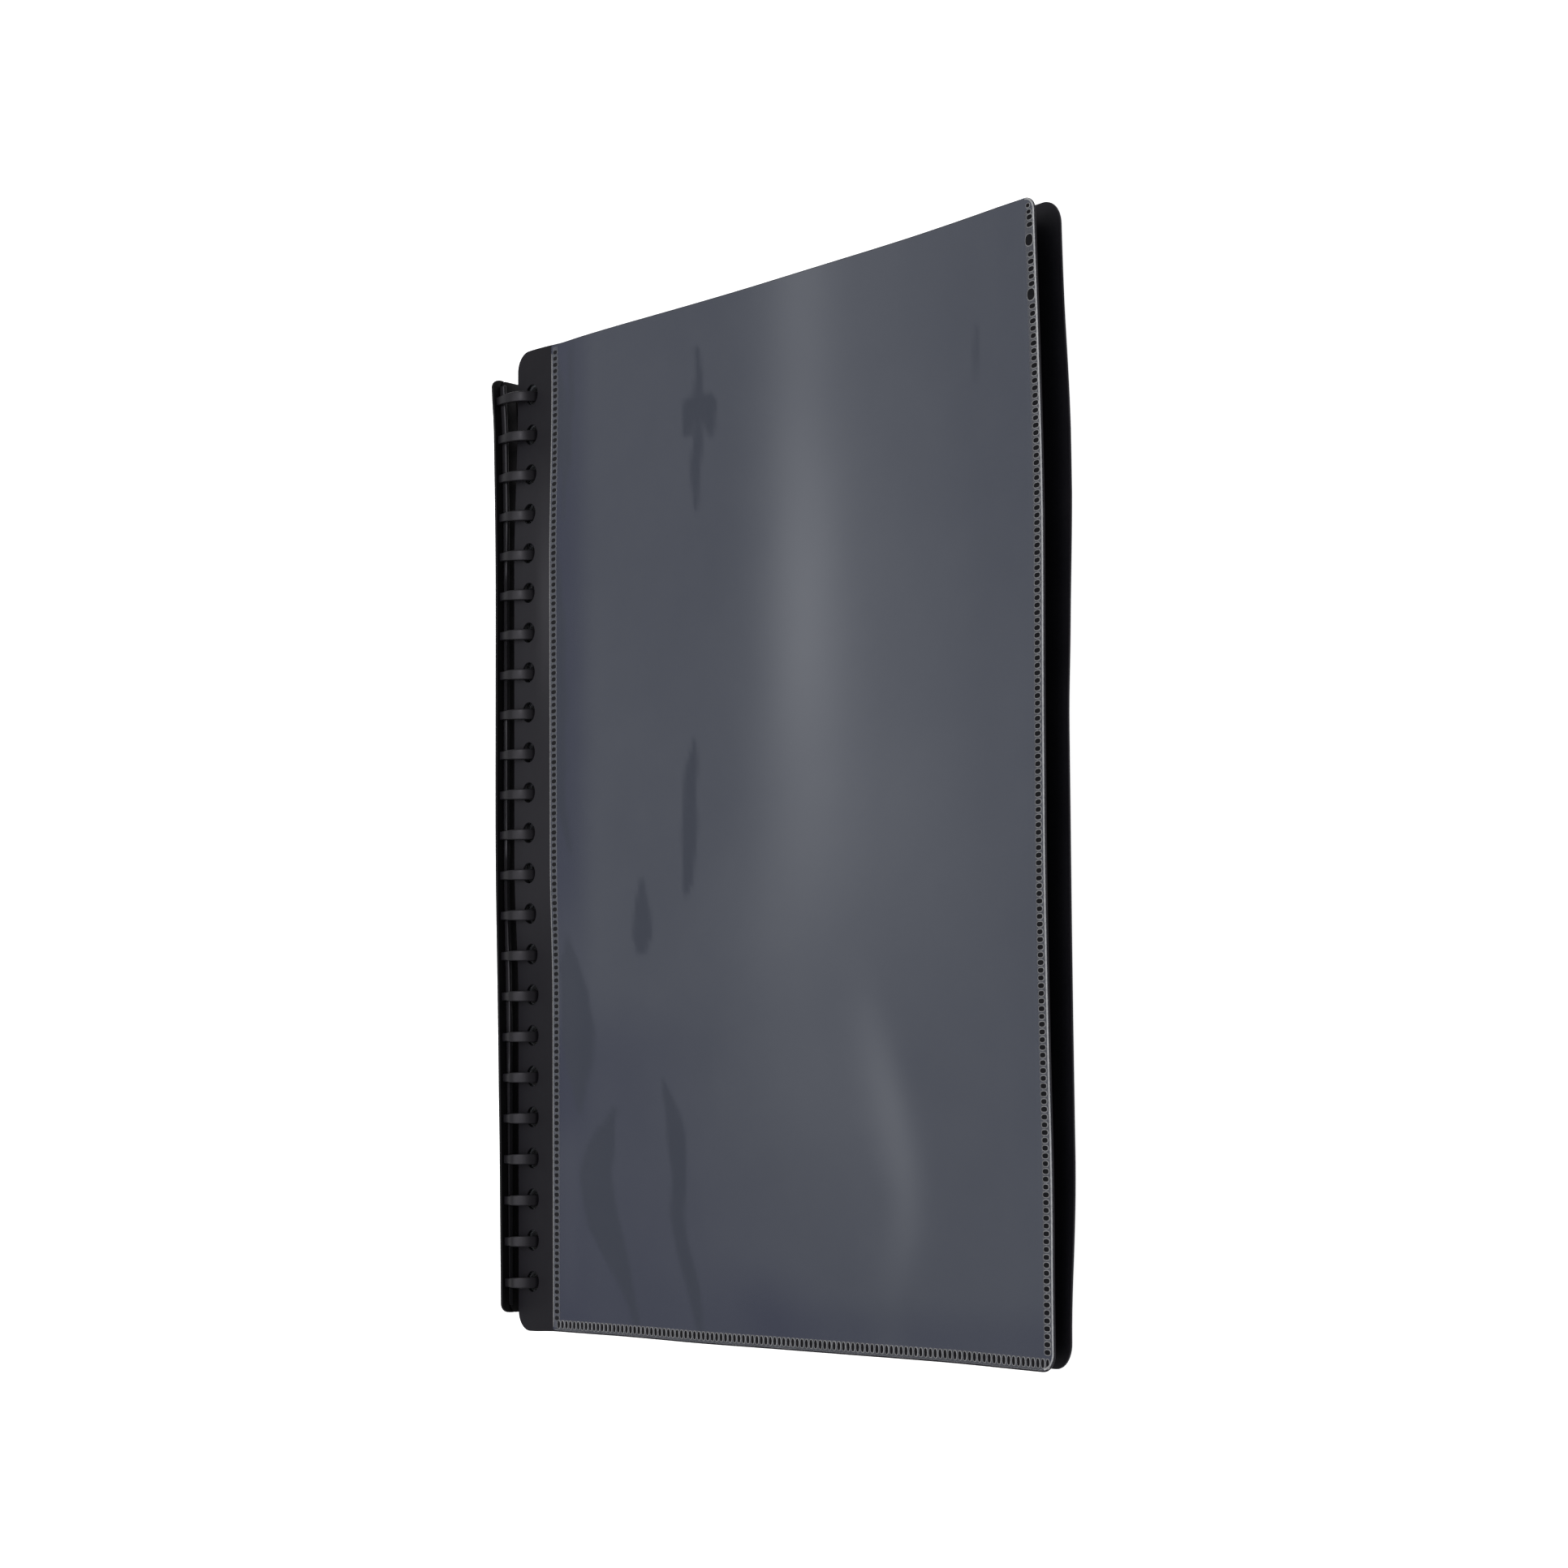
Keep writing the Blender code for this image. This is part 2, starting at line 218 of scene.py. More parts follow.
def finish_mesh(name, verts, faces, mats, body, smooth=35.0, mat_index=None, colours=None):
    """A mesh object from points in millimetres about the loops' centre, riding on a body."""
    co = (stretch(verts, body) + np.array([AX, 0.0, AZ])) * MM
    me = bpy.data.meshes.new(name)
    me.from_pydata(co.tolist(), [], [tuple(int(i) for i in f) for f in faces])
    me.validate()
    for m in mats:
        me.materials.append(m)
    if mat_index is not None:
        me.polygons.foreach_set("material_index", np.asarray(mat_index, np.int32))
    if colours:
        for cname, values in colours.items():
            layer = me.color_attributes.new(name=cname, type="FLOAT_COLOR", domain="POINT")
            v = np.asarray(values, np.float32)
            rgba = np.ones((len(v), 4), np.float32)
            rgba[:, :3] = v[:, None]
            layer.data.foreach_set("color", rgba.ravel())
    me.update()
    ob = bpy.data.objects.new(name, me)
    bpy.context.scene.collection.objects.link(ob)
    me.shade_smooth()
    if smooth < 180:
        me.set_sharp_from_angle(angle=math.radians(smooth))
    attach(ob, body)
    return ob


def rounded_outline(x0, x1, y0, y1, radii, steps=10, spacing=4.0):
    """Counter-clockwise outline, with points along its straight sides too."""
    corners = [(x0, y0, 180, radii[0]), (x1, y0, 270, radii[1]), (x1, y1, 0, radii[2]), (x0, y1, 90, radii[3])]
    pts = []
    for cx, cy, a0, r in corners:
        sx = 1 if cx == x0 else -1
        sy = 1 if cy == y0 else -1
        n = steps if r > 0 else 0
        for k in range(n + 1):
            a = math.radians(a0 + 90 * (k / n if n else 0.5))
            pts.append((cx + sx * r + r * math.cos(a), cy + sy * r + r * math.sin(a)))
    out = []
    for (ax, ay), (bx, by) in zip(pts, pts[1:] + pts[:1]):
        d = math.hypot(bx - ax, by - ay)
        n = max(1, int(round(d / spacing))) if d > 1.5 * spacing else 1
        for k in range(n):
            out.append((ax + (bx - ax) * k / n, ay + (by - ay) * k / n))
    return out


def circle(cx, cy, r, n):
    """Clockwise circle."""
    return [(cx + r * math.cos(-2 * math.pi * k / n), cy + r * math.sin(-2 * math.pi * k / n)) for k in range(n)]


def offset(loop, d):
    """Moves a closed loop sideways; positive d is to its left, which is inwards on an outline and outwards on a hole."""
    p = np.asarray(loop, float)
    e = np.roll(p, -1, 0) - p
    e /= np.linalg.norm(e, axis=1)[:, None]
    n = np.stack([-e[:, 1], e[:, 0]], 1)
    m = n + np.roll(n, 1, 0)
    m /= np.maximum(0.3, (m * m).sum(1) / 2)[:, None]
    return p + d * m


def inside(points, loop):
    p = np.asarray(points, float)
    q = np.asarray(loop, float)
    x, y = p[:, 0][:, None], p[:, 1][:, None]
    x0, y0 = q[:, 0][None], q[:, 1][None]
    x1, y1 = np.roll(q[:, 0], -1)[None], np.roll(q[:, 1], -1)[None]
    hit = ((y0 > y) != (y1 > y)) & (x < (x1 - x0) * (y - y0) / np.where(y1 == y0, 1e-12, y1 - y0) + x0)
    return hit.sum(1) % 2 == 1


def sheet_parts(outline, holes, xs, ys, low, high, rim=0.12, rim_z=0.14):
    """Points and faces of a thin sheet between two height functions, with a softened rim all round."""
    loops = [offset(outline, rim)] + [offset(h, rim) for h in holes]
    raw = [np.asarray(outline, float)] + [np.asarray(h, float) for h in holes]
    pts, edges, ranges = [], [], []
    for lp in loops:
        s = len(pts)
        pts += [tuple(v) for v in lp]
        n = len(lp)
        edges += [(s + i, s + (i + 1) % n) for i in range(n)]
        ranges.append((s, n))
    gx, gy = np.meshgrid(xs, ys)
    grid = np.stack([gx.ravel(), gy.ravel()], 1)
    keep = inside(grid, offset(outline, rim + 0.8))
    for h in holes:
        c = np.mean(h, 0)
        r = np.hypot(*(np.asarray(h[0]) - c))
        keep &= np.hypot(grid[:, 0] - c[0], grid[:, 1] - c[1]) > r + 0.9
    pts += [tuple(v) for v in grid[keep]]
    v2, _, f2, vo, _, _ = geometry.delaunay_2d_cdt([Vector(p) for p in pts], edges, [], 0, 1e-6)
    v2 = np.array([(v[0], v[1]) for v in v2])
    back = {}
    for i, orig in enumerate(vo):
        for o in orig:
            back[o] = i
    f2 = np.array([list(f) for f in f2 if len(f) == 3])
    cen = v2[f2].mean(1)
    ok = inside(cen, loops[0])
    for h in loops[1:]:
        c = h.mean(0)
        near = np.hypot(cen[:, 0] - c[0], cen[:, 1] - c[1]) < np.hypot(*(h[0] - c)) + 0.3
        if near.any():
            idx = np.where(near)[0]
            ok[idx[inside(cen[idx], h)]] = False
    f2 = f2[ok]
    a = v2[f2]
    area = (a[:, 1, 0] - a[:, 0, 0]) * (a[:, 2, 1] - a[:, 0, 1]) - (a[:, 1, 1] - a[:, 0, 1]) * (a[:, 2, 0] - a[:, 0, 0])
    f2 = f2[np.abs(area) > 1e-9]
    area = area[np.abs(area) > 1e-9]
    f2[area < 0] = f2[area < 0][:, ::-1]
    n = len(v2)
    zt, zb = high(v2[:, 0], v2[:, 1]), low(v2[:, 0], v2[:, 1])
    verts = [np.column_stack([v2, zt]), np.column_stack([v2, zb])]
    faces = [tuple(f) for f in f2] + [tuple(int(i) + n for i in f[::-1]) for f in f2]
    total = 2 * n
    for (s, m), r in zip(ranges, raw):
        top = [back[s + i] for i in range(m)]
        bot = [t + n for t in top]
        t, b = high(r[:, 0], r[:, 1]), low(r[:, 0], r[:, 1])
        dz = np.minimum(rim_z, 0.4 * (t - b))
        verts.append(np.column_stack([r, t - dz]))
        verts.append(np.column_stack([r, b + dz]))
        r1 = [total + i for i in range(m)]
        r2 = [total + m + i for i in range(m)]
        total += 2 * m
        for upper, lower in ((top, r1), (r1, r2), (r2, bot)):
            for i in range(m):
                j = (i + 1) % m
                faces.append((lower[i], lower[j], upper[j], upper[i]))
    return np.vstack(verts), faces


# ---------------------------------------------------------------- materials

def new_material(name):
    m = bpy.data.materials.new(name)
    m.use_nodes = True
    nt = m.node_tree
    return m, nt, nt.nodes["Principled BSDF"]


def node(nt, kind, **values):
    n = nt.nodes.new(kind)
    for key, v in values.items():
        if key in n.inputs.keys():
            n.inputs[key].default_value = v
        else:
            setattr(n, key, v)
    return n


def coords(nt):
    return nt.nodes.new("ShaderNodeTexCoord").outputs["Object"]


def noise(nt, scale, detail=2.0, rough=0.5, vec=None):
    n = node(nt, "ShaderNodeTexNoise", Scale=scale, Detail=detail, Roughness=rough)
    nt.links.new(vec or coords(nt), n.inputs["Vector"])
    return n.outputs["Fac"]


def ramp(nt, fac, stops):
    r = nt.nodes.new("ShaderNodeValToRGB")
    e = r.color_ramp.elements
    while len(e) > 1:
        e.remove(e[-1])
    for i, (pos, col) in enumerate(stops):
        el = e[0] if i == 0 else e.new(pos)
        el.position = pos
        el.color = (*col, 1.0) if len(col) == 3 else col
    nt.links.new(fac, r.inputs["Fac"])
    return r.outputs["Color"]


def map_range(nt, value, a, b, c, d, smooth=False):
    n = nt.nodes.new("ShaderNodeMapRange")
    n.interpolation_type = "SMOOTHSTEP" if smooth else "LINEAR"
    for key, v in zip(("From Min", "From Max", "To Min", "To Max"), (a, b, c, d)):
        n.inputs[key].default_value = v
    nt.links.new(value, n.inputs["Value"])
    return n.outputs["Result"]


def math_node(nt, op, a, b=None):
    n = nt.nodes.new("ShaderNodeMath")
    n.operation = op
    for i, v in enumerate((a, b)):
        if v is None:
            continue
        if isinstance(v, (int, float)):
            n.inputs[i].default_value = v
        else:
            nt.links.new(v, n.inputs[i])
    return n.outputs[0]


def bump(nt, height, strength, distance, normal=None):
    b = node(nt, "ShaderNodeBump", Strength=strength, Distance=distance)
    nt.links.new(height, b.inputs["Height"])
    if normal is not None:
        nt.links.new(normal, b.inputs["Normal"])
    return b.outputs["Normal"]


def plastic_sheet(name, dark, light, rough, spec, grain=2600.0, grain_strength=0.22, paint_sheen=False):
    """Black polypropylene sheet: fine matte grain, faint flow mottling, dust-fine scuffs; optionally a painted sheen,
    read from a vertex attribute, lightens the base colour.
    """
    m, nt, b = new_material(name)
    mottle = noise(nt, 38.0, 4.0, 0.55)
    base = ramp(nt, mottle, [(0.30, dark), (0.72, light)])
    # painted sheen: the base colour is mixed towards a lighter grey where the vertex attribute is high, standing in for
    # a soft reflection
    if paint_sheen:
        at = nt.nodes.new("ShaderNodeVertexColor")
        at.layer_name = "painted_sheen"
        mix = nt.nodes.new("ShaderNodeMix")
        mix.data_type = "RGBA"
        nt.links.new(at.outputs["Color"], mix.inputs[0])
        nt.links.new(base, mix.inputs[6])
        mix.inputs[7].default_value = (0.0200, 0.0195, 0.0222, 1.0)
        base = mix.outputs[2]
    nt.links.new(base, b.inputs["Base Color"])
    fine = noise(nt, grain, 2.0, 0.6)
    nt.links.new(map_range(nt, noise(nt, 120.0, 3.0, 0.6), 0.3, 0.7, rough - 0.05, rough + 0.06), b.inputs["Roughness"])
    n1 = bump(nt, fine, grain_strength, 0.00004)
    nt.links.new(bump(nt, mottle, 0.10, 0.00020, n1), b.inputs["Normal"])
    b.inputs["Specular IOR Level"].default_value = spec
    b.inputs["Specular Tint"].default_value = (0.95, 0.92, 1.0, 1.0)
    return m


def moulded(name, dark, light, rough, spec):
    """Injection-moulded black plastic: satin, with faint flow lines along its length."""
    m, nt, b = new_material(name)
    flow = nt.nodes.new("ShaderNodeMapping")
    flow.inputs["Scale"].default_value = (1.0, 0.18, 1.0)
    nt.links.new(coords(nt), flow.inputs["Vector"])
    lines = noise(nt, 420.0, 3.0, 0.55, flow.outputs["Vector"])
    nt.links.new(ramp(nt, lines, [(0.32, dark), (0.70, light)]), b.inputs["Base Color"])
    nt.links.new(map_range(nt, noise(nt, 620.0, 2.0, 0.5), 0.3, 0.7, rough - 0.02, rough + 0.03), b.inputs["Roughness"])
    n1 = bump(nt, noise(nt, 3400.0, 2.0, 0.6), 0.14, 0.00003)
    nt.links.new(bump(nt, lines, 0.05, 0.00004, n1), b.inputs["Normal"])
    b.inputs["Specular IOR Level"].default_value = spec
    b.inputs["Specular Tint"].default_value = (0.95, 0.92, 1.0, 1.0)
    return m


def film_material():
    """Clear film over the black cover: a blue-grey haze, lightened by painted reflection bands and darkened by painted
    shade read from a vertex attribute, that thins out where the film clings to the cover.
    """
    m, nt, b = new_material("clear_overlay_film")

    def attribute(name):
        at = nt.nodes.new("ShaderNodeVertexColor")
        at.layer_name = name
        return at.outputs["Color"]

    def mixed(factor, first, second, kind="MIX"):
        mix = nt.nodes.new("ShaderNodeMix")
        mix.data_type = "RGBA"
        mix.blend_type = kind
        for socket, v in (("Factor", factor), ("A", first), ("B", second)):
            if isinstance(v, float):
                mix.inputs[0].default_value = v
            elif isinstance(v, tuple):
                mix.inputs[6 if socket == "A" else 7].default_value = (*v, 1.0)
            else:
                nt.links.new(v, mix.inputs[{"Factor": 0, "A": 6, "B": 7}[socket]])
        return mix.outputs[2]

    cloud = noise(nt, 26.0, 3.0, 0.55)
    free = ramp(nt, cloud, [(0.25, FILM_DARK), (0.75, FILM_LIGHT)])
    # painted reflection: a lighter grey is added to the film in proportion to the stored value above its middle
    glow = attribute("painted_reflection")
    level = map_range(nt, glow, 0.0, 1.0, -1.0, 1.0)          # stored as 0.5 + 0.5 * the painted reflection value
    reflection_added = mixed(1.0, free, mixed(map_range(nt, level, 0.0, 1.0, 0.0, 1.0), (0.0, 0.0, 0.0), FILM_REFLECTION), "ADD")
    # painted shade: below the middle value the film is mixed towards a near-black blue
    clear = mixed(map_range(nt, level, -0.5, 0.0, 0.9, 0.0), reflection_added, (0.001, 0.004, 0.024))
    nt.links.new(mixed(attribute("cling"), clear, FILM_CLING), b.inputs["Base Color"])
    nt.links.new(map_range(nt, noise(nt, 70.0, 3.0, 0.55), 0.25, 0.75, FILM_ROUGH - 0.03, FILM_ROUGH + 0.03), b.inputs["Roughness"])
    fine = bump(nt, noise(nt, 900.0, 2.0, 0.5), 0.035, 0.00004)
    nt.links.new(fine, b.inputs["Normal"])
    b.inputs["IOR"].default_value = 1.5
    b.inputs["Alpha"].default_value = FILM_ALPHA
    b.inputs["Coat Weight"].default_value = FILM_COAT
    b.inputs["Coat Roughness"].default_value = 0.16
    b.inputs["Coat IOR"].default_value = 1.5
    return m


def pocket_material():
    """Clear polypropylene film with a fine emboss and ribbed weld lines along the three closed sides."""
    m, nt, b = new_material("pocket_film")
    sep = nt.nodes.new("ShaderNodeSeparateXYZ")
    nt.links.new(coords(nt), sep.inputs[0])
    x, y = sep.outputs["X"], sep.outputs["Y"]

    def band(value, centre, half):
        d = math_node(nt, "ABSOLUTE", math_node(nt, "SUBTRACT", value, centre))
        return map_range(nt, d, half - 0.0003, half + 0.0003, 1.0, 0.0)

    def ribs(value):
        return map_range(nt, math_node(nt, "SINE", math_node(nt, "MULTIPLY", value, 2 * math.pi / 0.002)), -0.5, 0.7, 0.0, 1.0)

    foot = math_node(nt, "MULTIPLY", band(y, (-152.0 + 2.6) * MM, 0.0012), ribs(x))
    fore = math_node(nt, "MULTIPLY", band(x, (AX + 228.0 - 2.6) * MM, 0.0012), ribs(y))
    root = math_node(nt, "MULTIPLY", band(x, (AX + 13.4) * MM, 0.0012), ribs(y))
    weld = math_node(nt, "MAXIMUM", math_node(nt, "MAXIMUM", foot, fore), root)
    base = ramp(nt, noise(nt, 55.0, 3.0, 0.5), [(0.3, (0.075, 0.078, 0.088)), (0.7, (0.10, 0.104, 0.116))])
    mix = nt.nodes.new("ShaderNodeMix")
    mix.data_type = "RGBA"
    nt.links.new(weld, mix.inputs["Factor"])
    nt.links.new(base, mix.inputs["A"])
    mix.inputs["B"].default_value = (0.30, 0.305, 0.32, 1.0)
    nt.links.new(mix.outputs["Result"], b.inputs["Base Color"])
    nt.links.new(map_range(nt, weld, 0.0, 1.0, 0.22, 0.50), b.inputs["Alpha"])
    nt.links.new(map_range(nt, noise(nt, 90.0, 2.0, 0.5), 0.3, 0.7, 0.16, 0.26), b.inputs["Roughness"])
    n1 = bump(nt, noise(nt, 2200.0, 1.0, 0.5), 0.10, 0.00003)
    nt.links.new(bump(nt, weld, 0.5, 0.00012, n1), b.inputs["Normal"])
    b.inputs["Specular IOR Level"].default_value = 0.3
    return m


def weld_material(name, dark, light, rough, alpha=1.0):
    m, nt, b = new_material(name)
    nt.links.new(ramp(nt, noise(nt, 700.0, 2.0, 0.5), [(0.3, dark), (0.7, light)]), b.inputs["Base Color"])
    nt.links.new(map_range(nt, noise(nt, 1500.0, 2.0, 0.5), 0.3, 0.7, rough - 0.04, rough + 0.08), b.inputs["Roughness"])
    b.inputs["Alpha"].default_value = alpha
    b.inputs["IOR"].default_value = 1.5
    return m


FILM_DARK, FILM_LIGHT, FILM_CLING = (0.0279, 0.0328, 0.0477), (0.0330, 0.0380, 0.0527), (0.0070, 0.0112, 0.0240)
# the second colour is the lighter grey of the painted reflection bands on the film
FILM_REFLECTION = (0.071, 0.073, 0.075)
FILM_ROUGH, FILM_ALPHA, FILM_COAT = 0.20, 0.80, 0.25
# the front cover gets the painted sheen on its margin
COVER = plastic_sheet("black_polypropylene_sheet", (0.0026, 0.0024, 0.0036), (0.0040, 0.0037, 0.0052), 0.50, 0.11, paint_sheen=True)
# the back cover is a lighter copy of the cover material: painted light that lifts its strip at the fore-edge, which
# lies in the front cover's shade
COVER_BACK_PAINTED_LIGHTER = plastic_sheet("black_polypropylene_back_painted_lighter", (0.0062, 0.0060, 0.0078), (0.0088, 0.0084, 0.0108), 0.50, 0.11)
SPINE = moulded("moulded_black_spine", (0.0020, 0.0020, 0.0022), (0.0036, 0.0035, 0.0036), 0.40, 0.12)
LOOPS = moulded("moulded_black_loops", (0.0034, 0.0031, 0.0040), (0.0051, 0.0047, 0.0060), 0.34, 0.17)
RAIL = moulded("moulded_black_rail", (0.0056, 0.0054, 0.0062), (0.0085, 0.0082, 0.0094), 0.36, 0.28)
FILM = film_material()
POCKET = pocket_material()
POCKET_RIM = weld_material("pocket_cut_edge", (0.030, 0.031, 0.034), (0.050, 0.051, 0.055), 0.34)
WELD_RIM = weld_material("whitened_weld_rim", (0.095, 0.095, 0.098), (0.160, 0.160, 0.165), 0.24)
WELD_PIT = weld_material("clear_weld_pit", (0.0020, 0.0020, 0.0030), (0.0040, 0.0040, 0.0050), 0.34)
SOFT_RIM = weld_material("soft_weld_rim", (0.034, 0.036, 0.044), (0.052, 0.054, 0.062), 0.24)
SOFT_BAND = weld_material("soft_weld_band", (0.026, 0.029, 0.040), (0.034, 0.037, 0.048), 0.22)
SOFT_PIT = weld_material("soft_weld_pit", (0.0030, 0.0030, 0.0040), (0.0055, 0.0055, 0.0070), 0.34)
WELD_BAND = weld_material("pressed_weld_band", (0.024, 0.026, 0.033), (0.033, 0.035, 0.044), 0.24)
EDGE_SOFT = weld_material("soft_film_edge", (0.072, 0.072, 0.076), (0.112, 0.112, 0.117), 0.24)
FILM_EDGE = weld_material("cut_film_edge", (0.155, 0.155, 0.16), (0.225, 0.225, 0.23), 0.22)
WELD_PIT.node_tree.nodes["Principled BSDF"].inputs["Specular IOR Level"].default_value = 0.05
SOFT_PIT.node_tree.nodes["Principled BSDF"].inputs["Specular IOR Level"].default_value = 0.08


# ---------------------------------------------------------------- covers

def hole_rows(cx, r, n):
    return [circle(cx, HOLE_Y + (k - 11) * PITCH, r, n) for k in range(HOLES)]


def steps(a, b, d):
    n = max(1, int(round((b - a) / d)))
    return np.linspace(a, b, n + 1)


def build_covers():
    xs = np.concatenate([steps(-1.0, 14, 2.1), steps(16, X_EDGE - 1, 4.2)])
    ys = steps(-Y_HALF + 1, Y_HALF - 1, 4.6)
    outline = rounded_outline(-MARGIN, X_EDGE, -Y_HALF, Y_HALF, [6.0, 5.0, 4.2, 6.0], 12, 4.2)
    holes = hole_rows(HOLE_X, HOLE_R, 36)
    v, f = sheet_parts(outline, holes, xs, ys, lambda x, y: front_top(x, y) - COVER_T, front_top)
    # the painted sheen rides on the front cover as a vertex attribute
    front = finish_mesh("front_cover_sheet", v, f, [COVER], "front_cover", colours={"painted_sheen": painted_sheen(v[:, 0], v[:, 1])})
    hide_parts("front_cover")
    outline = rounded_outline(-MARGIN, X_EDGE, -Y_HALF, Y_HALF, [7.0, 7.0, 7.0, 7.0], 12, 4.2)
    v, f = sheet_parts(outline, holes, xs, ys, back_bottom, lambda x, y: back_bottom(x, y) + COVER_T)
    back = finish_mesh("back_cover_sheet", v, f, [COVER_BACK_PAINTED_LIGHTER], "back_cover")
    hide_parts("back_cover")


# ---------------------------------------------------------------- clear insert pocket and its welds

def film_low(x, y):
    return front_top(x, y) + film_gap(x, y)


FILM_T = 0.15


def film_high(x, y):
    return film_low(x, y) + FILM_T


def build_film():
    xs = steps(FILM_X0 + 1.0, FILM_X1 - 1.0, 1.6)
    ys = steps(FILM_Y0 + 1.0, FILM_Y1 - 1.0, 1.9)
    outline = rounded_outline(FILM_X0, FILM_X1, FILM_Y0, FILM_Y1, [1.0, 4.6, 3.8, 1.0], 10, 2.0)
    v, f = sheet_parts(outline, [], xs, ys, film_low, film_high, rim=0.05, rim_z=0.04)
    # the film carries its cling patches and its painted reflection and painted shade as vertex attributes
    film = finish_mesh("cover_pocket_film", v, f, [FILM], "front_cover", 
                       colours={"cling": 0.8 * contact(v[:, 0], v[:, 1]), "painted_reflection": np.clip(0.5 + 0.5 * painted_reflection(v[:, 0], v[:, 1]), 0, 1)})
    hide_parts("front_cover_overlay")


def stamp(u, v, half_u, half_v):
    """One oval weld mark: a raised rim round a pressed pit, as rings of (point, height over the film)."""
    n = 16
    rings = [(0.34, -0.06), (0.30, 0.03), (0.20, 0.11), (0.10, 0.10), (0.02, 0.05), (-0.14, 0.035)]
    pts = []
    for grow, h in rings:
        for k in range(n):
            a = 2 * math.pi * k / n
            c, d = math.cos(a), math.sin(a)
            # a superellipse, so the pit is an oval bar with full ends
            q = (abs(c) ** 2.6 + abs(d) ** 2.6) ** (-1 / 2.6)
            pts.append((u + (half_u + grow) * q * c, v + (half_v + grow) * q * d, h))
    pts.append((u, v, 0.035))
    return pts, n, len(rings)


def build_seam(name, marks, band, rim, pit, strip_mat):
    verts, faces, mats = [], [], []
    for cx, cy, hu, hv in marks:
        pts, n, m = stamp(cx, cy, hu, hv)
        s = len(verts)
        p = np.array(pts)
        z = film_high(p[:, 0], p[:, 1]) + p[:, 2]
        verts += [tuple(q) for q in np.column_stack([p[:, :2], z])]
        for r in range(m - 1):
            for k in range(n):
                j = (k + 1) % n
                faces.append((s + r * n + k, s + r * n + j, s + (r + 1) * n + j, s + (r + 1) * n + k))
                mats.append(1 if r >= 3 else 0)
        for k in range(n):
            j = (k + 1) % n
            faces.append((s + (m - 1) * n + k, s + (m - 1) * n + j, s + m * n))
            mats.append(1)
        faces.append(tuple(s + k for k in range(n))[::-1])          # underside, sunk into the film
        mats.append(0)
    ob = finish_mesh(name, verts, faces, [rim, pit], "front_cover", smooth=180, mat_index=mats)
    # the smooth pressed band that the marks sit in
    (x0, x1), (y0, y1) = band
    xs, ys = (steps(x0, x1, 0.7), steps(y0, y1, 3.0)) if (x1 - x0) < (y1 - y0) else (steps(x0, x1, 3.0), steps(y0, y1, 0.7))
    out = rounded_outline(x0, x1, y0, y1, [0.5] * 4, 3, 3.0)
    v, f = sheet_parts(out, [], xs, ys, lambda x, y: film_high(x, y) - 0.05, lambda x, y: film_high(x, y) + 0.012, rim=0.10, rim_z=0.02)
    strip = finish_mesh(name + "_band", v, f, [strip_mat], "front_cover")


def seam_right(y):
    return SEAM_R + 0.55 * float(S((y - 40) / 80))


def build_welds():
    y0, y1 = SEAM_B + 2.9, Y_HALF - 3.6
    count = int((y1 - y0) / 2.0)
    left = [(SEAM_L, y0 + 2.0 * k - 1.0, 1.04 + 0.08 * math.sin(k * 1.7), 0.56) for k in range(count + 2)]
    build_seam("weld_seam_spine_side", left, ((SEAM_L - 1.45, SEAM_L + 1.35), (FILM_Y0 + 0.6, FILM_Y1 - 0.8)), SOFT_RIM, SOFT_PIT, SOFT_BAND)
    right = []
    for k in range(count + 1):
        y = y0 + 2.0 * k
        if y > Y_HALF - 4.6:
            continue
        near = min((142.6, 127.9), key=lambda c: abs(y - c))
        x = seam_right(y)
        if abs(y - near) < 1.0:
            right.append((x - 0.45, near, 1.45, 1.45))
        elif abs(y - near) > 2.5:
            right.append((x, y, 1.10 + 0.07 * math.sin(k * 2.3), 0.56))
    for k in range(2):
        right.append((seam_right(140) - 0.25 - 0.35 * k, Y_HALF - 4.3 + 1.75 * k, 0.80 - 0.15 * k, 0.45))
    build_seam("weld_seam_fore_edge", right, ((SEAM_R - 1.55, SEAM_R + 1.75), (FILM_Y0 + 4.4, FILM_Y1 - 3.6)), WELD_RIM, WELD_PIT, WELD_BAND)
    x0, x1 = SEAM_L + 0.9, SEAM_R
    n = int(round((x1 - x0) / 2.0))
    foot = [(x0 + (x1 - x0) * k / n, SEAM_B, 0.55, 1.06) for k in range(n + 1)]
    build_seam("weld_seam_foot", foot, ((SEAM_L - 0.6, SEAM_R + 0.2), (SEAM_B - 1.45, SEAM_B + 1.45)), WELD_RIM, WELD_PIT, WELD_BAND)


def tube(name, path, radius, mat, body, closed=False, sides=8):
    p = np.asarray(path, float)
    t = np.gradient(p, axis=0)
    t /= np.linalg.norm(t, axis=1)[:, None]
    up = np.array([0.0, 0.0, 1.0])
    side = np.cross(t, up)
    side /= np.linalg.norm(side, axis=1)[:, None]
    nor = np.cross(side, t)
    verts, faces = [], []
    for k in range(len(p)):
        for i in range(sides):
            a = 2 * math.pi * i / sides
            verts.append(p[k] + radius * math.cos(a) * side[k] + 0.11 * math.sin(a) * nor[k])
    for k in range(len(p) - 1):
        for i in range(sides):
            j = (i + 1) % sides
            faces.append((k * sides + i, k * sides + j, (k + 1) * sides + j, (k + 1) * sides + i))
    faces.append(tuple(range(sides))[::-1])
    faces.append(tuple((len(p) - 1) * sides + i for i in range(sides)))
    ob = finish_mesh(name, verts, faces, [mat], body, smooth=180)
    me = ob.data
    bm = bmesh.new()
    bm.from_mesh(me)
    bmesh.ops.recalc_face_normals(bm, faces=bm.faces)
    bm.to_mesh(me)
    bm.free()
    return ob


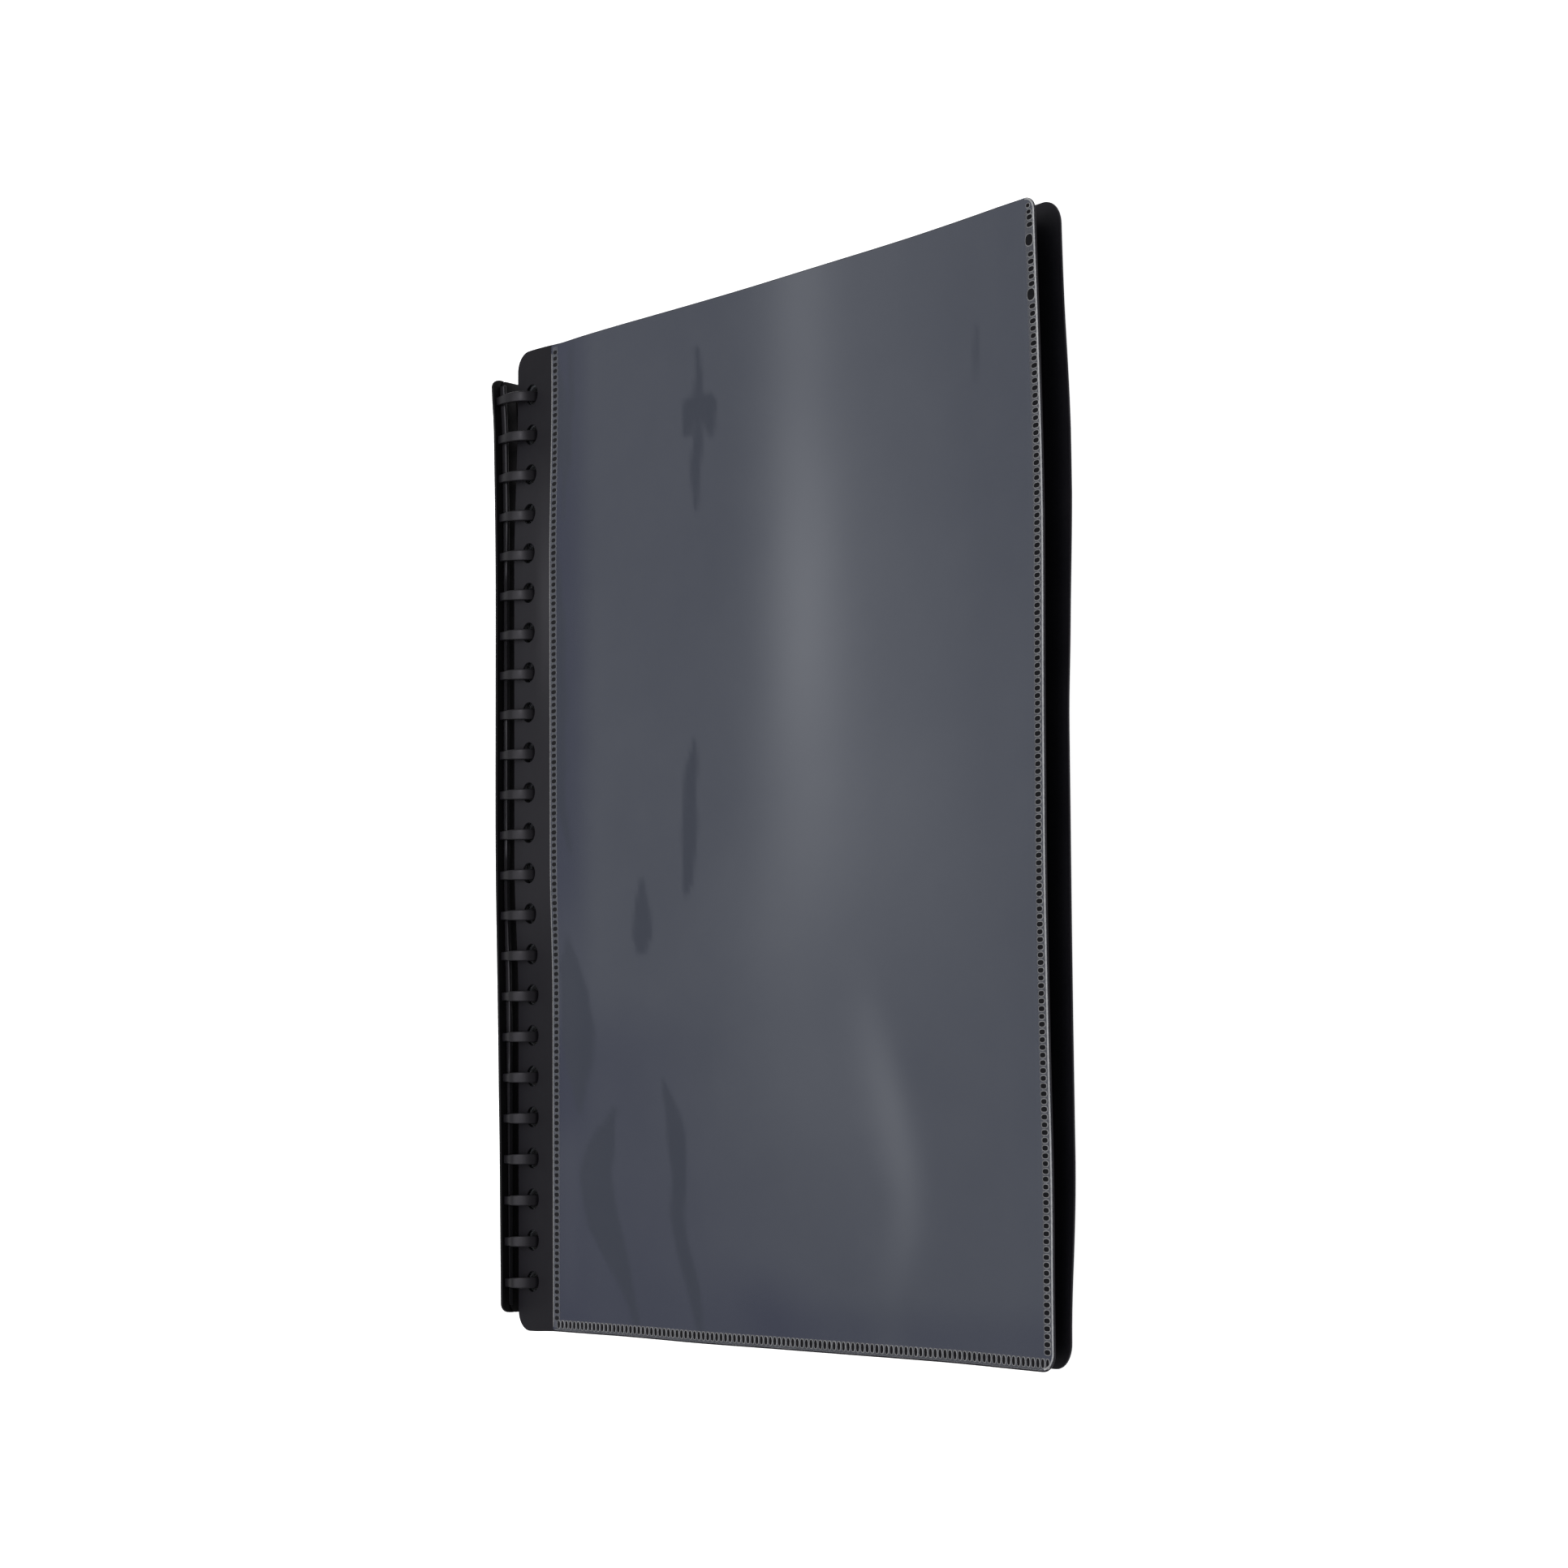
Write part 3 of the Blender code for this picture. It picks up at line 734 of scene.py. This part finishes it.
def build_film_edges():
    """The film's fused edge: a light line on the spine side and the fore-edge, fainter at the foot and the head."""
    o = np.array(rounded_outline(FILM_X0, FILM_X1, FILM_Y0, FILM_Y1, [1.0, 4.6, 3.8, 1.0], 14, 2.0))

    def along(x, y):
        return int(np.argmin(np.hypot(o[:, 0] - x, o[:, 1] - y)))

    def run(name, a, b, inset, radius, mat):
        q = o[a : b + 1] if b > a else np.vstack([o[a:], o[: b + 1]])
        t = np.gradient(q, axis=0)
        t /= np.linalg.norm(t, axis=1)[:, None]
        q = q + inset * np.stack([-t[:, 1], t[:, 0]], 1)
        ob = tube(name, np.column_stack([q, film_high(q[:, 0], q[:, 1])]), radius, mat, "front_cover")

    top_left, low_left = along(FILM_X0, FILM_Y1 - 2.8), along(FILM_X0, FILM_Y0 + 1.6)
    low_in, low_right = along(FILM_X0 + 1.8, FILM_Y0), along(FILM_X1 - 4.8, FILM_Y0)
    high_right, high_left = along(FILM_X1 - 4.2, FILM_Y1), along(FILM_X0 + 1.6, FILM_Y1)
    run("film_edge_spine_side", top_left, low_left, 0.34, 0.30, EDGE_SOFT)
    run("film_edge_foot", low_in, low_right, 0.24, 0.20, WELD_BAND)
    run("film_edge_fore", low_right + 1, high_right, 0.36, 0.30, FILM_EDGE)
    run("film_edge_head", high_right + 1, high_left, 0.14, 0.10, WELD_BAND)


# ---------------------------------------------------------------- spine

def lean(x, y):
    """The moulded spine leans a little along its length; the loops' far side stays in the holes."""
    y = np.asarray(y, float)
    bow = 0.52 * G(y, 92, 36) - 0.72 * G(y, -8, 42) + 0.18 * S((-78 - y) / 20) - 0.9 * S((y - 130) / 16)
    return (bow - 2.0 * y / 146.0) * (1 - S((np.asarray(x) + 6.6) / 12.5))


def place(points):
    p = np.asarray(points, float).copy()
    p[:, 1] -= 0.07 * (7.7 - p[:, 2]) * S((p[:, 1] - 134) / 12)
    p[:, 0] += lean(p[:, 0], p[:, 1])
    return p


def extruded(name, section, y0, y1, mat, end_round=0.0, slices=60, most_x=None, corner=2.6, half=7.7):
    """A section in (x, z) swept along Y, its ends rounded in Y-Z by a corner radius."""
    sec = np.asarray(section, float)
    n = len(sec)
    ys = list(np.linspace(y0 + corner, y1 - corner, slices))
    ends = [corner * (1 - math.cos(math.pi / 2 * k / 8)) for k in range(8)]
    ys = [y0 + e for e in ends] + ys + [y1 - e for e in reversed(ends)]
    verts, faces = [], []
    for y in ys:
        d = min(y - y0, y1 - y)
        cut = 0.0
        if d < corner:
            cut = corner - math.sqrt(max(0.0, corner ** 2 - (corner - d) ** 2))
        s = (half - cut) / half
        for x, z in sec:
            verts.append((x, y, z * s))
    for k in range(len(ys) - 1):
        for i in range(n):
            j = (i + 1) % n
            faces.append((k * n + i, k * n + j, (k + 1) * n + j, (k + 1) * n + i))
    faces.append(tuple(range(n))[::-1])
    faces.append(tuple((len(ys) - 1) * n + i for i in range(n)))
    verts = place(verts)
    if most_x is not None:
        verts[:, 0] = np.minimum(verts[:, 0], most_x(verts[:, 1]))
    ob = finish_mesh(name, verts, faces, [mat], "spine" if name != "locking_rail_bar" else "rail", smooth=40)
    bm = bmesh.new()
    bm.from_mesh(ob.data)
    bmesh.ops.recalc_face_normals(bm, faces=bm.faces)
    bm.to_mesh(ob.data)
    bm.free()
    return ob


def rounded_section(points, r, n=4):
    """Rounds the corners of a closed polygon in a plane."""
    p = [np.array(q, float) for q in points]
    out = []
    for i, c in enumerate(p):
        a, b = p[i - 1], p[(i + 1) % len(p)]
        da, db = a - c, b - c
        la, lb = np.linalg.norm(da), np.linalg.norm(db)
        rr = min(r, 0.45 * la, 0.45 * lb)
        s, e = c + da / la * rr, c + db / lb * rr
        for k in range(n + 1):
            t = k / n
            out.append((1 - t) ** 2 * s + 2 * t * (1 - t) * c + t * t * e)
    return out


LOOP_R, LOOP_T, LOOP_W, LOOP_END = 7.0, 1.4, 3.15, 6.05
WALL_IN, WALL_T = -6.6, 1.0


def loop_curve():
    """A dense smooth centre line of one loop, from its root to its tip."""
    end_x = WALL_IN + 0.30
    arc = [(LOOP_R * math.cos(math.radians(a)), LOOP_R * math.sin(math.radians(a))) for a in np.linspace(-94, 94, 33)]
    lead = [(end_x + (0 - end_x) * t, -(LOOP_END + (LOOP_R - LOOP_END) * float(S(t * 1.05)))) for t in np.linspace(0, 0.9, 7)]
    tail = [(x, -z) for x, z in reversed(lead)]
    return np.array(lead + arc + tail)


def build_loops():
    c = loop_curve()
    t = np.gradient(c, axis=0)
    t /= np.linalg.norm(t, axis=1)[:, None]
    nor = np.stack([t[:, 1], -t[:, 0]], 1)
    half_t, half_w = LOOP_T / 2, LOOP_W / 2
    sec = rounded_section([(-half_t, -half_w), (-half_t, half_w), (half_t, half_w), (half_t, -half_w)], 0.42, 4)
    n = len(sec)
    verts, faces = [], []
    for k in range(HOLES):
        y = SHIFT + 1.15 + 0.40 * (1 - k / 22) + (k - 11) * PITCH * 1.0009
        s = len(verts)
        for (cx, cz), (nx, nz) in zip(c, nor):
            # each loop leans a little towards the foot and widens away from its root
            far = float(S((cx + 6.3) / 12))
            for across, along in sec:
                verts.append((cx + nx * across, y - (0.90 - 0.55 * float(S((k - 18) / 4))) * far - 1.10 * (1 - far) * (1 - k / 22) + along * (0.86 + 0.22 * far), cz + nz * across))
        m = len(c)
        for i in range(m - 1):
            for q in range(n):
                r = (q + 1) % n
                faces.append((s + i * n + q, s + i * n + r, s + (i + 1) * n + r, s + (i + 1) * n + q))
        faces.append(tuple(s + q for q in range(n))[::-1])
        faces.append(tuple(s + (m - 1) * n + q for q in range(n)))
    ob = finish_mesh("binding_loops", place(verts), faces, [LOOPS], "spine", smooth=50)
    bm = bmesh.new()
    bm.from_mesh(ob.data)
    bmesh.ops.recalc_face_normals(bm, faces=bm.faces)
    bm.to_mesh(ob.data)
    bm.free()
    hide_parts("ring_comb")
    strip = rounded_section([(WALL_IN + 0.05, -7.3), (WALL_IN + 0.60, -7.3), (WALL_IN + 0.60, -1.6), (WALL_IN + 0.05, -1.2)], 0.20, 3)
    st = extruded("loop_root_strip", [tuple(q) for q in strip], SHIFT - 144.5, SHIFT + 144.5, SPINE, half=7.3, corner=1.5)


def rail_limit(y):
    """How far the rail may stand out, so that the front cover's margin clears it when the book is open."""
    return -3.86 - 1.52 * S((y + 56) / 44) * (1 - S((y - 88) / 56))


def build_spine():
    back = WALL_IN - WALL_T
    wall = [(back, -7.7), (back, 7.7), (WALL_IN, 7.7), (WALL_IN, 5.0), (WALL_IN - 0.5, 5.3), (WALL_IN - 0.5, 4.0), (WALL_IN, 4.3), (WALL_IN, -7.7)]
    sec = rounded_section(wall, 0.28, 3)
    ob = extruded("spine_wall", [tuple(q) for q in sec], SHIFT - 148.7, SHIFT + 148.4, SPINE, corner=2.8)
    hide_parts("spine_back")
    lo, hi = 4.1, 5.2
    rail = [(WALL_IN - 0.40, lo + 0.1), (WALL_IN - 0.40, hi - 0.1), (WALL_IN + 0.12, hi - 0.40), (WALL_IN + 0.14, hi),
            (WALL_IN + 2.25, hi), (WALL_IN + 2.25, lo), (WALL_IN + 0.14, lo), (WALL_IN + 0.12, lo + 0.40)]
    sec = rounded_section(rail, 0.42, 4)
    ob = extruded("locking_rail_bar", [tuple(q) for q in sec], SHIFT - 146.4, SHIFT + 146.4, RAIL, corner=0.6, half=5.5, most_x=rail_limit)
    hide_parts("locking_rail")


# ---------------------------------------------------------------- pockets

def build_pockets():
    xs = steps(1.6 + 1.5, 228.0 - 1.5, 9.0)
    ys = steps(-152 + 1.5, 152 - 1.5, 9.5)
    outline = rounded_outline(1.6, 228.0, -152.0, 152.0, [0.8, 3.0, 3.0, 0.8], 5, 9.0)
    holes = hole_rows(PAGE_HOLE_X, PAGE_HOLE_R, 20)
    for k in range(20):
        v, f = sheet_parts(outline, holes, xs, ys, lambda x, y: page_bottom(k, x, y), lambda x, y: page_bottom(k, x, y) + 0.13, rim=0.03, rim_z=0.03)
        ob = finish_mesh(f"clear_pocket_{k + 1:02d}", v, f, [POCKET, POCKET_RIM], f"pocket_{k + 1:02d}", mat_index=[int(len(q) == 4) for q in f])
        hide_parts(f"pocket_{k + 1:02d}")


build_covers()
build_film()
build_welds()
build_film_edges()
build_spine()
build_loops()
build_pockets()


# ---------------------------------------------------------------- floor, light and camera

def build_stage():
    me = bpy.data.meshes.new("studio_floor")
    h = 4.0
    me.from_pydata([(-h, -h, -0.0003), (h, -h, -0.0003), (h, h, -0.0003), (-h, h, -0.0003)], [], [(0, 1, 2, 3)])
    floor = bpy.data.objects.new("studio_floor", me)
    bpy.context.scene.collection.objects.link(floor)
    m, nt, b = new_material("pale_floor")
    nt.links.new(ramp(nt, noise(nt, 3.0, 2.0, 0.5), [(0.3, (0.50, 0.50, 0.50)), (0.7, (0.53, 0.53, 0.53))]), b.inputs["Base Color"])
    b.inputs["Roughness"].default_value = 0.9
    b.inputs["Specular IOR Level"].default_value = 0.1
    b.inputs["Emission Color"].default_value = (1.0, 1.0, 1.0, 1.0)
    b.inputs["Emission Strength"].default_value = 0.92
    me.materials.append(m)

    world = bpy.data.worlds.new("studio")
    bpy.context.scene.world = world
    world.use_nodes = True
    nt = world.node_tree
    bg = nt.nodes["Background"]
    tc = nt.nodes.new("ShaderNodeTexCoord")
    sep = nt.nodes.new("ShaderNodeSeparateXYZ")
    nt.links.new(tc.outputs["Generated"], sep.inputs[0])
    up = map_range(nt, sep.outputs["Z"], 0.70, 0.97, SKY_LOW, SKY_HIGH, smooth=True)
    nt.links.new(up, bg.inputs["Strength"])
    bg.inputs["Color"].default_value = (*SKY_COLOUR, 1.0)


SKY_LOW, SKY_HIGH, SKY_COLOUR = 0.62, 3.4, (0.985, 0.99, 1.0)

CAM_POS = Vector((748.96, -87.08, 617.44)) * MM
CAM_RIGHT = Vector((0.63630515, -0.00848001, -0.77139085))
CAM_UP = Vector((0.08039234, 0.99522402, 0.05537342))
CAM_BACK = Vector((0.76723714, -0.0972483, 0.6339479))
FOCAL_PX = 4118.2


def build_camera():
    cam = bpy.data.cameras.new("camera")
    cam.sensor_width = 36.0
    cam.sensor_fit = "HORIZONTAL"
    cam.lens = 36.0 * FOCAL_PX / 1932.0
    cam.clip_start, cam.clip_end = 0.01, 50.0
    ob = bpy.data.objects.new("camera", cam)
    m = Matrix.Identity(4)
    for i in range(3):
        m[i][0], m[i][1], m[i][2], m[i][3] = CAM_RIGHT[i], CAM_UP[i], CAM_BACK[i], CAM_POS[i]
    ob.matrix_world = m
    bpy.context.scene.collection.objects.link(ob)
    bpy.context.scene.camera = ob


def build_light():
    """One soft studio lamp high over the head of the spine, for the small highlights on the loops."""
    aim = Vector((AX, 0, AZ)) * MM
    tilt = math.radians(6.0)
    away = Vector((math.sin(tilt), 0.30, math.cos(tilt))).normalized()
    la = bpy.data.lights.new("soft_lamp", "AREA")
    la.shape = "DISK"
    la.size = 0.36
    la.energy = LAMP
    ob = bpy.data.objects.new("soft_lamp", la)
    ob.matrix_world = Matrix.Translation(aim + away * 2.0) @ away.to_track_quat("Z", "Y").to_matrix().to_4x4()
    bpy.context.scene.collection.objects.link(ob)


LAMP = 4.8

build_stage()
build_camera()
build_light()
bpy.context.scene.view_settings.view_transform = "Standard"
